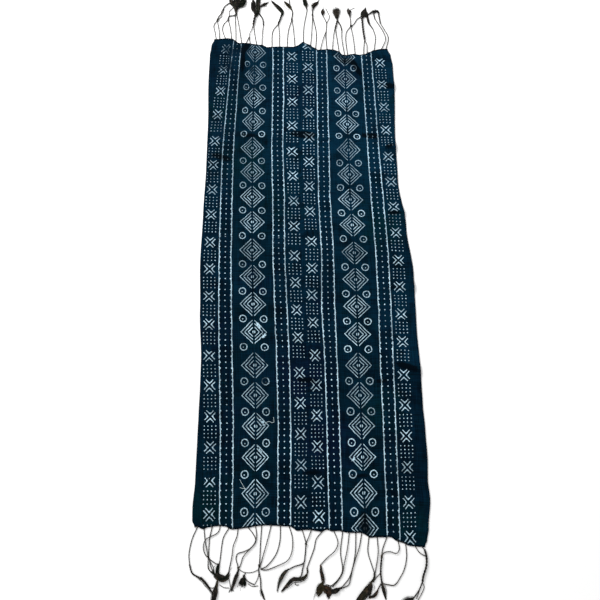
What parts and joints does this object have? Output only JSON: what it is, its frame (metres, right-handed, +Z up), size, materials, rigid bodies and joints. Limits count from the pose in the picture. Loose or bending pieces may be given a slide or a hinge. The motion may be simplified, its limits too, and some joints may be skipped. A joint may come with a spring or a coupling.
{
  "type": "bogolan mud cloth",
  "caption": "Long dark indigo bogolan cloth lying flat with soft wrinkles, pale stencilled diamonds, crosses and dots, and a loose twisted cord fringe at both short ends.",
  "frame": {"origin": "middle of the whole cloth with its fringes, on the surface it lies on", "axes": "+Y along the length from the near end to the far end, +X across it to the right, +Z up"},
  "size_m": [0.4804, 1.3738, 0.0096],
  "materials": {
    "cloth": "matte plain weave, dyed deep indigo with pale stencilled marks",
    "cord": "matte twisted cotton, dark grey-brown, frayed at its tips"
  },
  "bodies": {
    "root": {"cloth": "cloth", "fringe_far": "cord", "fringe_near": "cord"}
  },
  "joints": []
}
